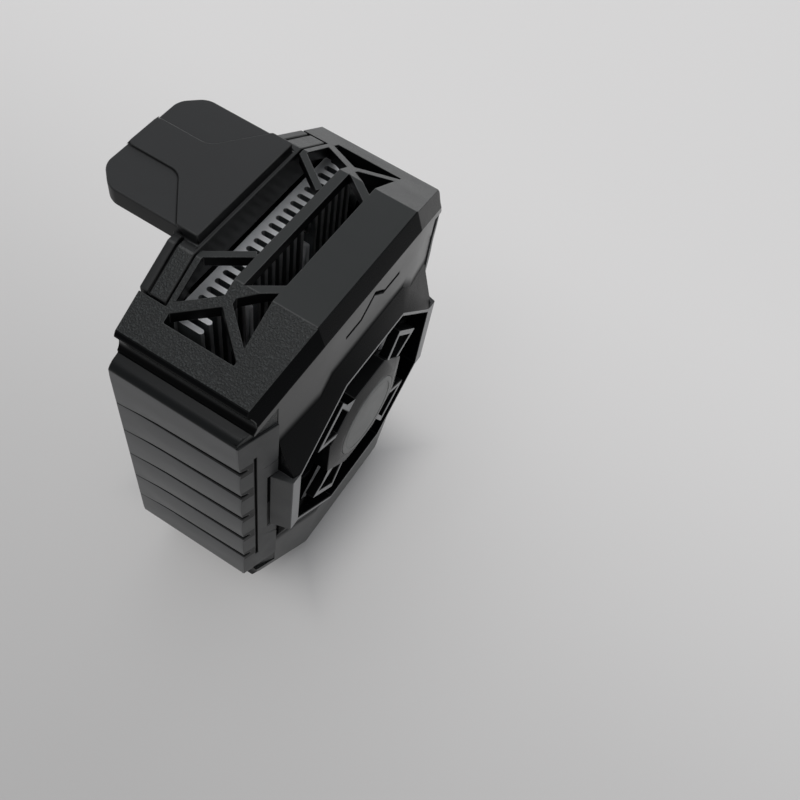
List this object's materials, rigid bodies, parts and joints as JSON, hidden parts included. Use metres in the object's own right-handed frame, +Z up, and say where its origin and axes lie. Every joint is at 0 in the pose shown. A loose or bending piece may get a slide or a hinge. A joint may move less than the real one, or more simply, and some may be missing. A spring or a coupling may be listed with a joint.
{
  "type": "phone cooling fan",
  "caption": "Clip-on phone cooler: octagonal black case with truss vents, loop-spoke fan grille, finned heat sink, cold plate and a sprung sliding jaw.",
  "frame": {"origin": "centre of the contact face that touches the phone", "axes": "+X across the fan face, +Y out of the contact face towards the phone, +Z up towards the sliding jaw"},
  "size_m": [0.0524, 0.0404, 0.0718],
  "materials": {
    "shell": "satin black with fine spark grain on the shoulders",
    "cover": "fine matt grain",
    "grip": "matt grey louvres",
    "bezel": "gloss black",
    "grille": "satin dark grey",
    "hub": "pale satin grey",
    "fan": "matt black",
    "copper": "lacquered winding",
    "bronze": "sintered",
    "magnet": "bonded ferrite",
    "steel": "ground",
    "aluminium": "black anodised fins with bright cut ends",
    "ceramic": "white ceramic",
    "pellet": "semiconductor",
    "foam": "closed-cell foam",
    "silicone": "soft thermal pad",
    "board": "solder mask",
    "chip": "moulded",
    "lead_red": "silicone insulation",
    "lead_black": "insulation",
    "jaw": "matt black",
    "jaw_rubber": "soft rubber"
  },
  "bodies": {
    "cooler": {"front_shell": "shell", "back_cover": "cover", "side_grip_left": "grip", "side_grip_right": "grip", "fan_bezel": "bezel", "fan_grille": "grille", "hub_cap": "hub", "fan_frame": "fan", "motor_stator": "copper", "bearing_sleeve": "bronze", "heat_sink": "aluminium", "peltier_plates": "ceramic", "peltier_pellets": "pellet", "insulation_frame": "foam", "cold_plate": "aluminium", "contact_pad": "silicone", "control_board": "board", "board_components": "chip", "usb_socket": "steel", "peltier_leads": "lead_red", "fan_leads": "lead_black", "lower_jaw": "jaw", "lower_jaw_pad": "jaw_rubber", "clamp_springs": "steel", "case_screws": "steel", "sink_screws": "steel", "fan_screws": "steel"},
    "rotor": {"impeller": "fan", "rotor_magnet": "magnet", "rotor_shaft": "steel"},
    "clamp": {"upper_jaw": "jaw", "upper_jaw_pad": "jaw_rubber"}
  },
  "joints": [
    {"name": "fan_spin", "type": "hinge", "parent": "cooler", "child": "rotor", "pos_m": [0, -0.0172, 0], "axis": [0, 1, 0], "continuous": true},
    {"name": "jaw_slide", "type": "slide", "parent": "cooler", "child": "clamp", "axis": [0, 0, 1], "range_m": [0, 0.024], "stiffness_N_per_m": 250, "springref_m": -0.008, "deforming": ["clamp_springs"]}
  ]
}
